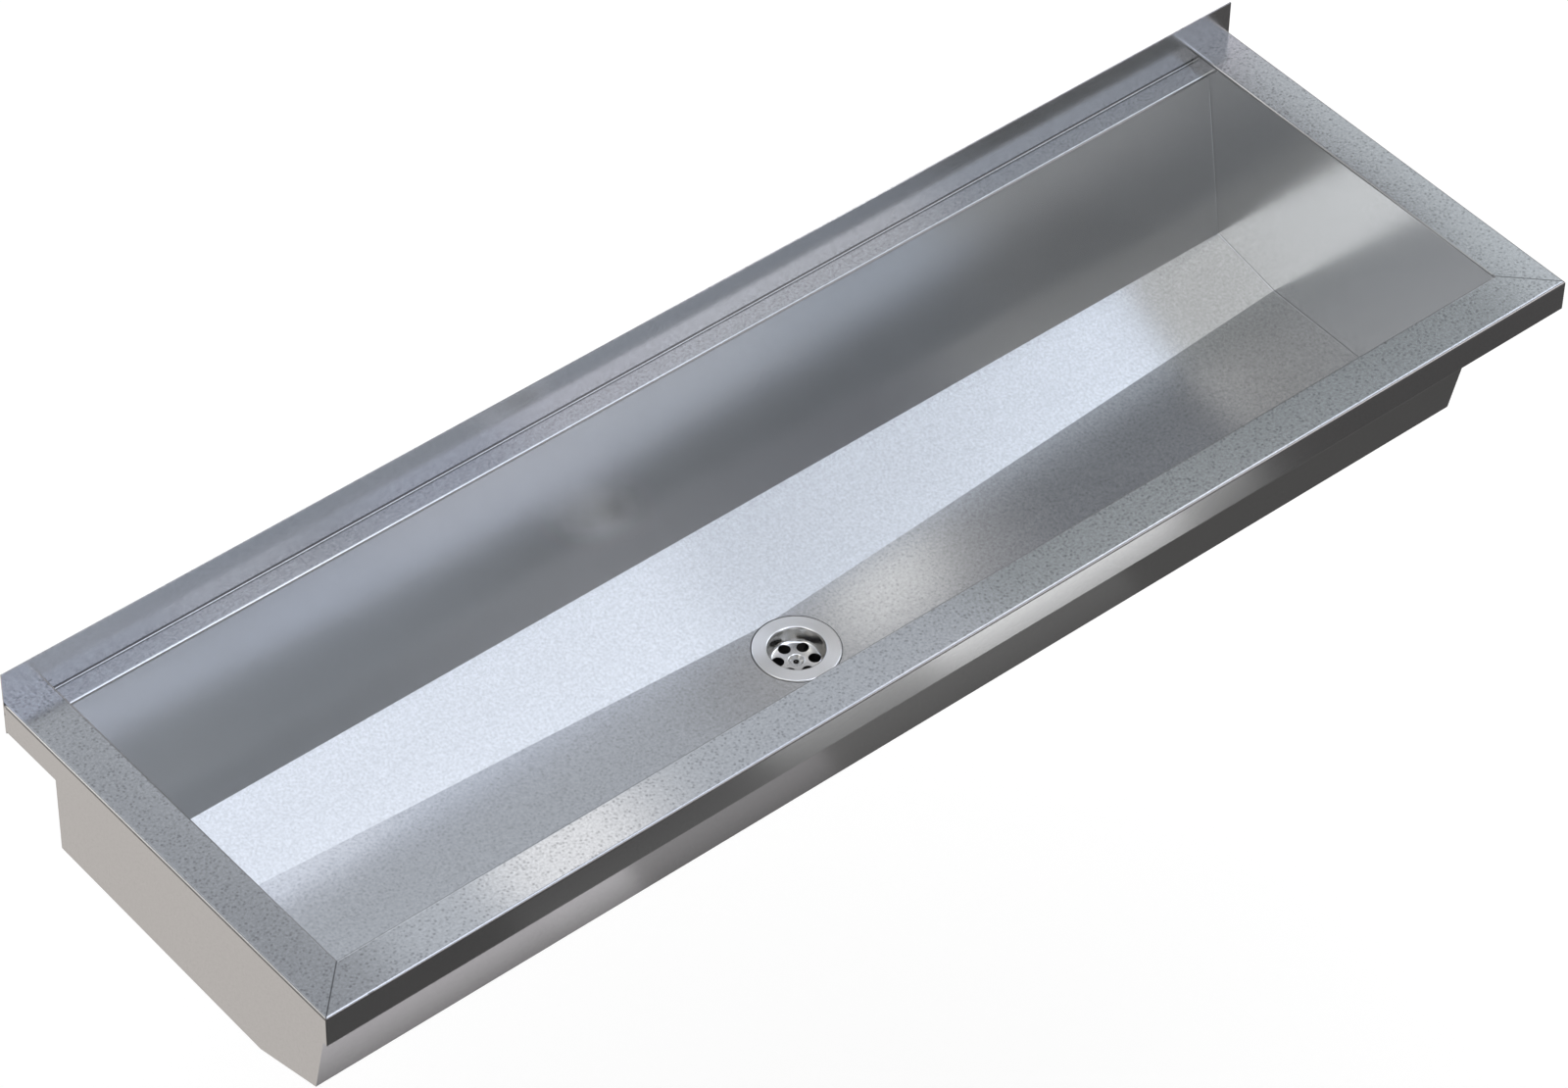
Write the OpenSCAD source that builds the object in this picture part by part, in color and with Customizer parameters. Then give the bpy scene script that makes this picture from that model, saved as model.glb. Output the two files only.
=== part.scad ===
// Wall-hung trough sink of folded and welded stainless sheet, with a central strainer waste.
// The origin is on the wall face, at rim level, midway along the trough.
// X runs along the trough, Y points to the wall and Z points up.

/* [Trough] */
// Overall length
body_l = 1200; // [700:1:2000]
// Overall depth from the wall to the front of the rim
body_d = 386; // [360:1:480]
// Thickness of the sheet
sheet_t = 1.2; // [0.8:0.1:1.5]
// Inner radius of the folds
bend_r = 1; // [0.6:0.1:1.4]
// Width of the front rim
front_rim_w = 39; // [30:0.5:50]
// Width of the two end rims
end_rim_w = 39; // [30:0.5:50]
// Height of the apron that hangs from the rim
apron_h = 30; // [20:0.5:45]
// Width of the safety return under the apron
return_w = 10; // [6:0.5:16]
// Height of the upstand above the rim
upstand_h = 30; // [20:0.5:80]
// Depth of the ledge in front of the upstand
ledge_w = 19.6; // [17:0.2:24]
// Drop from the rim to the ledge
ledge_drop = 11.2; // [8:0.1:16]

/* [Bowl] */
// Depth of the rear wall below the rim
rear_depth = 165; // [140:1:200]
// How far the rear wall leans forward on its way down
rear_lean = 26.4; // [22:0.1:40]
// Width of the base between the two floor slopes
base_w = 132; // [112:1:150]
// How far the base lies forward of the middle of the floor
base_shift = 0.75; // [0:0.05:6]
// Fall of the rear floor slope
rear_slope_fall = 15.1; // [12:0.1:20]
// Fall of the front floor slope
front_slope_fall = 19.6; // [14:0.1:24]
// How far the front wall leans back on its way down
front_lean = 33.3; // [24:0.1:42]
// Fall of the floor from each end to the drain
mid_fall = 5.8; // [4:0.1:7]
// Fall of the base from its rear fold to its front fold at each end
base_fall = 2.7; // [1.5:0.1:3.2]

/* [Waste] */
// How far the drain centre is behind the middle of the base
drain_back = 2.5; // [0:0.1:6]
// Radius of the strainer flange
flange_r = 35.5; // [34:0.1:36.5]
// Radius of the strainer mouth
mouth_r = 22.4; // [21.8:0.1:23.6]
// Radius of the strainer cup at its floor
cup_r = 20.6; // [20.2:0.1:21.4]
// Depth of the strainer cup
cup_depth = 13; // [11:0.5:16]
// Number of holes in the strainer
hole_count = 6; // [4:1:6]
// Radius of each strainer hole
hole_r = 5; // [3:0.1:5.2]
// Radius of the circle of strainer holes
hole_ring_r = 14.4; // [13.4:0.1:15]
// Outer radius of the outlet thread
outlet_r = 23.9; // [22:0.05:25]
// Length of the outlet thread
outlet_l = 30; // [20:1:45]

/* [Wall fixing] */
// Distance from each end of the trough to the middle of its wall bracket
bracket_inset = 200; // [120:1:240]
// Width of a wall bracket
bracket_w = 80; // [50:1:120]
// Height of the wall leg of a bracket
bracket_h = 80; // [66:1:110]
// Thickness of a wall bracket
bracket_t = 2.5; // [2:0.1:3]
// Distance between the two slots of a bracket
slot_pitch = 40; // [26:1:46]
// Half width of a slot
slot_r = 4.5; // [3:0.1:5]
// Length of a slot
slot_l = 18; // [12:0.5:30]

/* [Underside] */
// Thickness of the sound mats
mat_t = 3; // [2:0.1:4]
// Distance from the drain to the near end of a floor mat
mat_start = 90; // [60:1:140]
// Distance from a floor mat to the end of the bowl
mat_end_gap = 90; // [40:1:140]
// Width of the floor mats
mat_w = 70; // [40:1:74]
// Thickness of the glue that holds a mat
mat_glue = 0.05; // [0.02:0.01:0.3]

/* [Hidden] */
$fn = 64;

// Steps in each small fold of the sheet
bend_steps = 6;
// How far a cutting shape runs past what it cuts
over = 2;

// Section of the bowl seen from the end, as [y, z] on the wet side
rim_edge = [-body_d + front_rim_w, 0];
ledge_edge = [-sheet_t - ledge_w, -ledge_drop];
rear_corner = [ledge_edge.x - rear_lean, -rear_depth];
front_foot_y = rim_edge.x + front_lean;
base_mid_y = (rear_corner.x + front_foot_y) / 2 - base_shift;
rear_fold = [base_mid_y + base_w / 2, rear_corner.y - rear_slope_fall];
front_fold = [base_mid_y - base_w / 2, rear_fold.y - base_fall];
front_corner = [front_foot_y, front_fold.y + front_slope_fall];
bowl_x = body_l / 2 - end_rim_w;

// Slopes of the three kinds of floor, as rise over run towards the wall
rear_slope = (rear_corner.y - rear_fold.y) / (rear_corner.x - rear_fold.x);
base_slope = (rear_fold.y - front_fold.y) / (rear_fold.x - front_fold.x);
front_slope = (front_corner.y - front_fold.y) / (front_corner.x - front_fold.x);

// The points midway along the trough where the folds of the base end, as [y, z]
rear_apex = rear_fold - mid_fall / (rear_slope - base_slope) * [1, rear_slope];
front_apex = front_fold + mid_fall / (base_slope - front_slope) * [1, front_slope];

// Backs of the two long walls, one sheet away from the wet side
function unit(v) = v / norm(v);
function left_of(v) = [-v.y, v.x];
function cross_point(p, u, q, v) = p + u * ((q - p).x * v.y - (q - p).y * v.x) / (u.x * v.y - u.y * v.x);
rear_wall_dir = unit(ledge_edge - rear_corner);
front_wall_dir = unit(front_corner - rim_edge);
rear_wall_back = rear_corner - sheet_t * left_of(rear_wall_dir);
front_wall_back = front_corner - sheet_t * left_of(front_wall_dir);
below = [0, -sheet_t];
rear_corner_back = cross_point(rear_wall_back, rear_wall_dir, rear_corner + below, [1, rear_slope]);
front_corner_back = cross_point(front_wall_back, front_wall_dir, front_corner + below, [1, front_slope]);

// Strainer waste, with its distance from the wall and its heights below the rim
drain_y = -base_mid_y - drain_back;
drain_floor_z = rear_fold.y + base_slope * (-drain_y - rear_fold.x) - mid_fall;
flange_rise = 1.2;
flange_z = drain_floor_z + flange_rise;
strainer_t = 1;
flange_seal_t = 1.2;
flange_gap = 0.3;
dish_r = flange_r + flange_gap + sheet_t;
dish_hole_r = 28;
seat_z = flange_z - strainer_t - flange_seal_t;
cup_z = flange_z - cup_depth;
waste_seal_t = 3;
waste_top_z = seat_z - sheet_t - waste_seal_t;

// One rounded corner of an outline, from p by q to s
function corner_arc(p, q, s, r) =
    r <= 0 ? [q] :
    let (u = unit(p - q), v = unit(s - q))
    let (half = acos(max(-1, min(1, u * v))) / 2)
    let (centre = q + unit(u + v) * r / sin(half))
    let (start = q + u * r / tan(half) - centre, end = q + v * r / tan(half) - centre)
    let (a = atan2(start.y, start.x), turn = atan2(end.y, end.x) - a)
    let (sweep = turn > 180 ? turn - 360 : turn < -180 ? turn + 360 : turn)
    [for (i = [0 : bend_steps]) let (b = a + sweep * i / bend_steps) centre + r * [cos(b), sin(b)]];

function turns_left(p, q, s) = (q - p).x * (s - q).y - (q - p).y * (s - q).x > 0;

// The back of a sheet whose face follows path, with the face on the left of travel
function back_path(path, t) =
    let (n = len(path) - 1)
    [for (i = [0 : n])
        let (u = unit(path[min(i + 1, n)] - path[min(i, n - 1)]))
        let (w = unit(path[max(i, 1)] - path[max(i - 1, 0)]))
        i == 0 || i == n ? path[i] - t * left_of(i == 0 ? u : w) :
        cross_point(path[i] - t * left_of(w), w, path[i] - t * left_of(u), u)];

function rounded_path(path, radii) =
    let (n = len(path) - 1)
    [for (i = [0 : n]) each
        (i == 0 || i == n ? [path[i]] : corner_arc(path[i - 1], path[i], path[i + 1], radii[i]))];

// Outline of a folded sheet: radii are those of the inside of each fold
function folded_outline(path, radii, t, first_back = undef, last_back = undef) =
    let (n = len(path) - 1)
    let (left = [for (i = [0 : n]) i > 0 && i < n && turns_left(path[i - 1], path[i], path[i + 1])])
    let (face = rounded_path(path, [for (i = [0 : n]) radii[i] == 0 ? 0 : left[i] ? radii[i] : radii[i] + t]))
    let (plain = back_path(path, t))
    let (back = [for (i = [0 : n]) i == 0 && first_back != undef ? first_back :
        i == n && last_back != undef ? last_back : plain[i]])
    let (rear = rounded_path(back, [for (i = [0 : n]) radii[i] == 0 ? 0 : left[i] ? radii[i] + t : radii[i]]))
    concat(face, [for (i = [len(rear) - 1 : -1 : 0]) rear[i]]);

// Extrudes an outline given as [y, z] along X, from x0 to x1
module along_x(x0, x1) {
    translate([x0, 0, 0])
        rotate([90, 0, 90])
            linear_extrude(x1 - x0)
                children();
}

// Extrudes an outline given as [x, z] along Y, from y0 to y1
module along_y(y0, y1) {
    translate([0, y1, 0])
        rotate([90, 0, 0])
            linear_extrude(y1 - y0)
                children();
}

// Where the mitre of the right front corner ends, a little outside the rim
past_corner = [bowl_x, rim_edge.x] + (1 + over / end_rim_w) * [end_rim_w, -front_rim_w];

// Part of the plan that belongs to the front panel, with mitres at both corners
module front_plan() {
    polygon([[-bowl_x, 0], [-bowl_x, rim_edge.x], [-past_corner.x, past_corner.y],
        past_corner, [bowl_x, rim_edge.x], [bowl_x, 0]]);
}

// Part of the plan that belongs to the right end panel
module end_plan() {
    polygon([[bowl_x, over], [bowl_x, rim_edge.x], past_corner, [past_corner.x, over]]);
}

// A tall block over a plan, from below the base to above the upstand
module over_plan() {
    low_z = front_fold.y - sheet_t - over;
    translate([0, 0, low_z])
        linear_extrude(upstand_h + over - low_z)
            children();
}

// A slab between two outlines of the same number of points, counter-clockwise from above
module slab(top, bottom) {
    n = len(top);
    polyhedron(
        points = concat(top, bottom),
        faces = concat(
            [[for (i = [n - 1 : -1 : 0]) i]],
            [[for (i = [0 : n - 1]) n + i]],
            [for (i = [0 : n - 1]) [i, (i + 1) % n, n + (i + 1) % n, n + i]]));
}

function lifted(points, dz) = [for (p = points) p + [0, 0, dz]];
function flipped(points) = [for (i = [len(points) - 1 : -1 : 0]) [-points[i].x, points[i].y, points[i].z]];

// Wet sides of the floor panels, counter-clockwise from above
rear_floor = [[-bowl_x, rear_fold.x, rear_fold.y], [0, rear_apex.x, rear_apex.y],
    [bowl_x, rear_fold.x, rear_fold.y], [bowl_x, rear_corner.x, rear_corner.y],
    [-bowl_x, rear_corner.x, rear_corner.y]];
rear_floor_back = concat(lifted([for (i = [0 : 2]) rear_floor[i]], -sheet_t),
    [[bowl_x, rear_corner_back.x, rear_corner_back.y], [-bowl_x, rear_corner_back.x, rear_corner_back.y]]);
front_floor = [[-bowl_x, front_corner.x, front_corner.y], [bowl_x, front_corner.x, front_corner.y],
    [bowl_x, front_fold.x, front_fold.y], [0, front_apex.x, front_apex.y],
    [-bowl_x, front_fold.x, front_fold.y]];
front_floor_back = concat(
    [[-bowl_x, front_corner_back.x, front_corner_back.y], [bowl_x, front_corner_back.x, front_corner_back.y]],
    lifted([for (i = [2 : 4]) front_floor[i]], -sheet_t));
right_floor = [[0, front_apex.x, front_apex.y], [bowl_x, front_fold.x, front_fold.y],
    [bowl_x, rear_fold.x, rear_fold.y], [0, rear_apex.x, rear_apex.y]];

module at_drain() {
    translate([0, -drain_y, 0])
        children();
}

// Room for the pressed dish in the floor panels
module dish_cut() {
    at_drain()
        translate([0, 0, seat_z - sheet_t - over])
            cylinder(r = dish_r, h = drain_floor_z - seat_z + sheet_t + over + dish_r);
}

// Rear wall, ledge and upstand folded from one sheet, whose upstand runs on behind both end rims
module rear_panel() {
    path = [rear_corner, ledge_edge, [-sheet_t, -ledge_drop], [-sheet_t, upstand_h]];
    color("#9aa0a8")
        union() {
            along_x(-bowl_x, bowl_x)
                polygon(folded_outline(path, [0, bend_r, bend_r, 0], sheet_t, first_back = rear_corner_back));
            for (x = [-body_l / 2, bowl_x])
                translate([x, -sheet_t, -apron_h])
                    cube([end_rim_w, sheet_t, apron_h + upstand_h]);
        }
}

module front_panel() {
    path = [[-body_d + return_w, -apron_h], [-body_d, -apron_h], [-body_d, 0], rim_edge, front_corner];
    bends = [0, bend_r, bend_r, bend_r, 0];
    color("#a3a8ad")
        intersection() {
            along_x(-body_l / 2, body_l / 2)
                polygon(folded_outline(path, bends, sheet_t, last_back = front_corner_back));
            over_plan()
                front_plan();
        }
}

// The right end: end wall, rim, apron and return folded from one sheet that butts against the upstand
module end_panel() {
    half_l = body_l / 2;
    wall_top = -bend_r - sheet_t;
    wall_path = [[bowl_x, wall_top - sheet_t], [bowl_x, 0], [half_l, 0],
        [half_l, -apron_h], [half_l - return_w, -apron_h]];
    wall_front = cross_point(front_corner_back, front_wall_dir, [0, wall_top], [1, 0]);
    base_back = front_fold + below;
    base_rear = base_back - base_back.x * [1, base_slope];
    flange_w = 15;
    intersection() {
        union() {
            along_y(-body_d, -sheet_t)
                polygon(folded_outline(wall_path, [0, bend_r, bend_r, bend_r, 0], sheet_t));
            along_x(bowl_x, bowl_x + sheet_t)
                polygon([[-sheet_t, wall_top], [-sheet_t, -apron_h], [0, -apron_h],
                    base_rear, base_back, front_corner_back, wall_front]);
        }
        over_plan()
            end_plan();
    }
    translate([bowl_x - flange_w, -sheet_t, base_rear.y])
        cube([flange_w, sheet_t, -apron_h - base_rear.y]);
}

module left_end_panel() {
    color("#b5b0aa")
        mirror([1, 0, 0])
            end_panel();
}

module right_end_panel() {
    color("#b5b0aa")
        end_panel();
}

module rear_floor_panel() {
    color("#c9d1dc")
        difference() {
            slab(rear_floor, rear_floor_back);
            dish_cut();
        }
}

module front_floor_panel() {
    color("#8e9498")
        slab(front_floor, front_floor_back);
}

module right_floor_panel() {
    color("#7b7f80")
        difference() {
            slab(right_floor, lifted(right_floor, -sheet_t));
            dish_cut();
        }
}

module left_floor_panel() {
    left_floor = flipped(right_floor);
    color("#a5acb3")
        difference() {
            slab(left_floor, lifted(left_floor, -sheet_t));
            dish_cut();
        }
}

// Weld in the corner between the right end wall and the bowl, ground to a radius
weld_r = 1;
weld_top_gap = 3;
weld_steps = 6;

module corner_weld() {
    line = [front_corner - front_wall_dir * (norm(front_corner - rim_edge) - weld_top_gap),
        front_corner, front_fold, rear_fold, rear_corner,
        ledge_edge - rear_wall_dir * weld_top_gap];
    n = len(line);
    rings = [for (j = [0 : weld_steps])
        let (a = 90 * j / weld_steps)
        let (inner = back_path(line, -weld_r * (1 - sin(a))))
        [for (p = inner) [bowl_x - weld_r * (1 - cos(a)), p.x, p.y]]];
    corner = [for (p = line) [bowl_x, p.x, p.y]];
    sides = concat(rings, [corner]);
    last = len(sides) - 1;
    polyhedron(
        points = [for (ring = sides) each ring],
        faces = concat(
            [for (j = [0 : last]) each
                let (k = (j + 1) % (last + 1))
                [for (i = [0 : n - 2]) [k * n + i, k * n + i + 1, j * n + i + 1, j * n + i]]],
            [for (j = [0 : weld_steps - 1]) [last * n, (j + 1) * n, j * n]],
            [for (j = [0 : weld_steps - 1]) [last * n, j * n, (j + 1) * n] + (n - 1) * [1, 1, 1]]));
}

module left_corner_weld() {
    color("#b0b4b8")
        mirror([1, 0, 0])
            corner_weld();
}

module right_corner_weld() {
    color("#b0b4b8")
        corner_weld();
}

// Round seat pressed into the floor, whose collar follows the floor panels
module drain_dish() {
    collar_z = drain_floor_z + over;
    corner_r = 0.3;
    path = [[dish_hole_r, seat_z], [dish_r - sheet_t, seat_z], [dish_r - sheet_t, collar_z]];
    color("#b9bcbe")
        difference() {
            at_drain()
                rotate_extrude()
                    polygon(folded_outline(path, [0, corner_r, 0], sheet_t));
            for (floor_top = [rear_floor, right_floor, flipped(right_floor)])
                slab(lifted(floor_top, over + over), floor_top);
        }
}

// Rail under the ledge that hooks over the wall brackets
rail_t = 2;
rail_back_y = 6;
rail_leg_w = 9;
rail_h = 15;
rail_top_z = -ledge_drop - sheet_t;
rail_end_gap = 20;

module hanging_rail() {
    path = [[-rail_back_y - rail_leg_w, rail_top_z], [-rail_back_y, rail_top_z],
        [-rail_back_y, rail_top_z - rail_h]];
    color("#8c9196")
        along_x(-bowl_x + rail_end_gap, bowl_x - rail_end_gap)
            polygon(folded_outline(path, [0, bend_r, 0], rail_t));
}

// Z-shaped wall bracket whose lip stands in front of the rail
hook_gap = 1;
lip_gap = 2;
lip_y = rail_back_y + rail_t + hook_gap;
web_z = rail_top_z - rail_h;
bracket_corner_r = 6;
slot_mid_z = web_z - bracket_t - bracket_h / 2;
bracket_x = body_l / 2 - bracket_inset;

module wall_bracket() {
    lip_top = rail_top_z - rail_t - lip_gap;
    foot_z = web_z - bracket_t - bracket_h;
    path = [[-lip_y, lip_top], [-lip_y, web_z], [0, web_z], [0, foot_z]];
    difference() {
        along_x(-bracket_w / 2, bracket_w / 2)
            polygon(folded_outline(path, [0, bend_r, bend_r, 0], bracket_t));
        for (side = [-1, 1])
            translate([side * (bracket_w / 2 - bracket_corner_r), over, foot_z + bracket_corner_r])
                rotate([90, 0, 0])
                    linear_extrude(bracket_t + over + over)
                        difference() {
                            translate([side > 0 ? 0 : -bracket_corner_r - over, -bracket_corner_r - over])
                                square(bracket_corner_r + over);
                            circle(r = bracket_corner_r);
                        }
        for (z = [slot_mid_z - slot_pitch / 2, slot_mid_z + slot_pitch / 2])
            translate([0, over, z])
                rotate([90, 0, 0])
                    linear_extrude(bracket_t + over + over)
                        union() {
                            square([slot_l - slot_r * 2, slot_r * 2], center = true);
                            for (side = [-1, 1])
                                translate([side * (slot_l / 2 - slot_r), 0])
                                    circle(r = slot_r);
                        }
    }
}

module left_wall_bracket() {
    color("#8a8f93")
        translate([-bracket_x, 0, 0])
            wall_bracket();
}

module right_wall_bracket() {
    color("#8a8f93")
        translate([bracket_x, 0, 0])
            wall_bracket();
}

// Height of the base at a point of the right half
function base_z(x, y) = rear_fold.y + base_slope * (y - rear_fold.x) - mid_fall * (1 - x / bowl_x);
function rear_z(y) = rear_fold.y + rear_slope * (y - rear_fold.x);

// Sound mat glued under the right half of the base
module floor_mat() {
    x0 = mat_start;
    x1 = bowl_x - mat_end_gap;
    y0 = -drain_y - mat_w / 2;
    y1 = -drain_y + mat_w / 2;
    plan = [[x0, y0], [x1, y0], [x1, y1], [x0, y1]];
    top = [for (p = plan) [p.x, p.y, base_z(p.x, p.y) - sheet_t - mat_glue]];
    slab(top, lifted(top, -mat_t));
}

module left_sound_mat() {
    color("#3a3b3d")
        mirror([1, 0, 0])
            floor_mat();
}

module right_sound_mat() {
    color("#3a3b3d")
        floor_mat();
}

// Sound mat glued under the rear floor slope
module rear_sound_mat() {
    mat_edge_gap = 5;
    x1 = bowl_x - mat_end_gap;
    y0 = rear_fold.x + mat_edge_gap;
    y1 = rear_corner.x - mat_edge_gap;
    plan = [[-x1, y0], [x1, y0], [x1, y1], [-x1, y1]];
    top = [for (p = plan) [p.x, p.y, rear_z(p.y) - sheet_t - mat_glue]];
    color("#3a3b3d")
        slab(top, lifted(top, -mat_t));
}

// Bonding lug on the end wall, in the hollow behind the bowl
lug_t = 2;
lug_w = 20;
lug_l = 30;
lug_foot_h = 20;
lug_mid_y = -17;
lug_z = -130;
lug_hole_r = 3.3;
lug_hole_reach = 18;
lug_hole_x = bowl_x - lug_hole_reach;
bolt_r = 3;
bolt_mid_r = 2.7;
bolt_free_l = 8;
bolt_head_r = 5.77;
bolt_head_h = 4;
nut_h = 5;
washer_r = 6.2;
washer_t = 1.6;
thread_gap = 0.05;

module bonding_lug() {
    path = [[bowl_x - lug_l, lug_z], [bowl_x, lug_z], [bowl_x, lug_z - lug_foot_h]];
    color("#9b9fa3")
        difference() {
            along_y(lug_mid_y - lug_w / 2, lug_mid_y + lug_w / 2)
                polygon(folded_outline(path, [0, bend_r, 0], lug_t));
            translate([lug_hole_x, lug_mid_y, lug_z - lug_t - over])
                cylinder(r = lug_hole_r, h = lug_t + over + over);
        }
}

module at_lug() {
    translate([lug_hole_x, lug_mid_y, lug_z])
        children();
}

// Bolt that hangs through the lug: its thread is at mid radius in the nut and at full radius below
module bonding_bolt() {
    grip = lug_t + washer_t + washer_t + nut_h;
    color("#b8bbbd")
        at_lug()
            union() {
                translate([0, 0, washer_t])
                    cylinder(r = bolt_head_r, h = bolt_head_h, $fn = 6);
                translate([0, 0, washer_t - grip - bolt_free_l / 2])
                    cylinder(r = bolt_mid_r, h = grip + bolt_free_l / 2 + bolt_head_h / 2);
                translate([0, 0, washer_t - grip - bolt_free_l])
                    cylinder(r = bolt_r, h = bolt_free_l);
            }
}

module bonding_washers() {
    color("#c4c6c8")
        at_lug()
            for (z = [0, -lug_t - washer_t])
                translate([0, 0, z])
                    difference() {
                        cylinder(r = washer_r, h = washer_t);
                        translate([0, 0, -over])
                            cylinder(r = lug_hole_r, h = washer_t + over + over);
                    }
}

module bonding_nut() {
    color("#b8bbbd")
        at_lug()
            translate([0, 0, -lug_t - washer_t - nut_h])
                difference() {
                    cylinder(r = bolt_head_r, h = nut_h, $fn = 6);
                    translate([0, 0, -over])
                        cylinder(r = bolt_mid_r + thread_gap, h = nut_h + over + over);
                }
}

// Strainer pressed from sheet, with a turned-down flange, a cup, a ring of holes and a screw seat
screw_r = 3;
screw_hole_r = 3.4;
screw_seat_r = 6.1;
screw_seat_depth = 3;
seat_bend_r = 0.4;
cup_corner_r = 3;
mouth_bend_r = 1;
flange_lip = 1.8;
lip_bend_r = 0.3;

module strainer() {
    path = [[screw_hole_r, cup_z - screw_seat_depth], [screw_seat_r, cup_z], [cup_r, cup_z],
        [mouth_r, flange_z], [flange_r, flange_z], [flange_r, flange_z - flange_lip]];
    bends = [0, seat_bend_r, cup_corner_r, mouth_bend_r, lip_bend_r, 0];
    color("#d5d7d8")
        at_drain()
            difference() {
                rotate_extrude()
                    polygon(folded_outline(path, bends, strainer_t));
                for (i = [0 : hole_count - 1])
                    rotate([0, 0, 360 / hole_count * (i + 0.5)])
                        translate([hole_ring_r, 0, cup_z - strainer_t - over])
                            cylinder(r = hole_r, h = strainer_t + over + over);
            }
}

// Waste body below the floor, with the bridge that the strainer screw pulls on
body_wall_t = 3;
body_in_r = 27;
body_drop = 24;
outlet_wall_t = 4;
funnel_h = 10;
hub_r = 8;
hub_h = 12;
rib_t = 3;
rib_h = 9;
insert_r = 5;
outlet_in_r = outlet_r - outlet_wall_t;
funnel_z = waste_top_z - body_drop;
outlet_top_z = funnel_z - funnel_h;
outlet_bottom_z = outlet_top_z - outlet_l;
bridge_z = funnel_z;

// Countersunk screw whose head lies deep in the seat of the strainer
module strainer_screw() {
    head_r = 4.3;
    socket_r = 2.6;
    socket_depth = 2.4;
    seat_slope = screw_seat_depth / (screw_seat_r - screw_hole_r);
    head_z = cup_z - (screw_seat_r - head_r) * seat_slope;
    neck_z = head_z - (head_r - screw_r) * seat_slope;
    color("#c9cbcc")
        at_drain()
            difference() {
                rotate_extrude()
                    polygon([[0, bridge_z], [screw_r, bridge_z], [screw_r, neck_z],
                        [head_r, head_z], [0, head_z]]);
                translate([0, 0, head_z - socket_depth])
                    cylinder(r = socket_r, h = socket_depth + over, $fn = 6);
            }
}

// Flat rings that seal the floor between the strainer and the waste body
module flange_seal() {
    seal_inset = 0.8;
    color("#2b2b2c")
        at_drain()
            translate([0, 0, seat_z])
                difference() {
                    cylinder(r = flange_r - strainer_t - seal_inset, h = flange_seal_t);
                    translate([0, 0, -over])
                        cylinder(r = dish_hole_r + seal_inset, h = flange_seal_t + over + over);
                }
}

module waste_seal() {
    color("#2b2b2c")
        at_drain()
            translate([0, 0, waste_top_z])
                difference() {
                    cylinder(r = dish_r, h = waste_seal_t);
                    translate([0, 0, -over])
                        cylinder(r = dish_hole_r, h = waste_seal_t + over + over);
                }
}

module waste_body() {
    body_out_r = body_in_r + body_wall_t;
    chamfer = 1;
    color("#2e2f31")
        at_drain()
            rotate_extrude()
                polygon([[body_in_r, waste_top_z], [dish_r, waste_top_z],
                    [dish_r, waste_top_z - body_wall_t], [body_out_r, waste_top_z - body_wall_t],
                    [body_out_r, funnel_z], [outlet_r, outlet_top_z],
                    [outlet_r, outlet_bottom_z + chamfer], [outlet_r - chamfer, outlet_bottom_z],
                    [outlet_in_r, outlet_bottom_z], [outlet_in_r, outlet_top_z], [body_in_r, funnel_z]]);
}

// Spider that rests on the funnel of the waste body and holds the screw insert
module waste_bridge() {
    color("#2e2f31")
        at_drain()
            difference() {
                union() {
                    translate([0, 0, bridge_z])
                        cylinder(r = hub_r, h = hub_h);
                    intersection() {
                        for (i = [0 : 2])
                            rotate([0, 0, 120 * i + 30])
                                translate([0, -rib_t / 2, bridge_z])
                                    cube([body_in_r, rib_t, rib_h]);
                        translate([0, 0, bridge_z])
                            cylinder(r = body_in_r, h = rib_h);
                    }
                }
                translate([0, 0, bridge_z - over])
                    cylinder(r = insert_r, h = hub_h + over + over);
            }
}

module screw_insert() {
    color("#b08d3c")
        at_drain()
            translate([0, 0, bridge_z])
                difference() {
                    cylinder(r = insert_r, h = hub_h);
                    translate([0, 0, -over])
                        cylinder(r = screw_r + thread_gap, h = hub_h + over + over);
                }
}

rear_panel();
front_panel();
left_end_panel();
right_end_panel();
rear_floor_panel();
front_floor_panel();
left_floor_panel();
right_floor_panel();
left_corner_weld();
right_corner_weld();
drain_dish();
hanging_rail();
left_wall_bracket();
right_wall_bracket();
left_sound_mat();
right_sound_mat();
rear_sound_mat();
bonding_lug();
bonding_bolt();
bonding_washers();
bonding_nut();
strainer();
strainer_screw();
flange_seal();
waste_seal();
waste_body();
waste_bridge();
screw_insert();
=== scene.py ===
"""Looks for the wall-hung trough sink: its finishes, its threaded waste body, studio and camera."""

import math

import bpy
from mathutils import Matrix, Vector


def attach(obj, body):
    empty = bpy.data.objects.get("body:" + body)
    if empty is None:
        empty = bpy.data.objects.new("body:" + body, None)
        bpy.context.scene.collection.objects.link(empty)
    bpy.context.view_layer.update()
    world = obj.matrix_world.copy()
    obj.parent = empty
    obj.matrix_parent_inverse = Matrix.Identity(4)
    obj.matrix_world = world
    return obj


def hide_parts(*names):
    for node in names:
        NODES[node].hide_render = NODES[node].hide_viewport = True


bl_info = {
    "name": "Trough sink looks",
    "version": (1, 0, 0),
    "blender": (4, 5, 0),
    "location": "3D View > Sidebar > Trough sink",
    "description": "Finishes, threaded waste body and studio of a wall-hung stainless trough sink",
    "category": "Object",
}

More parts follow.
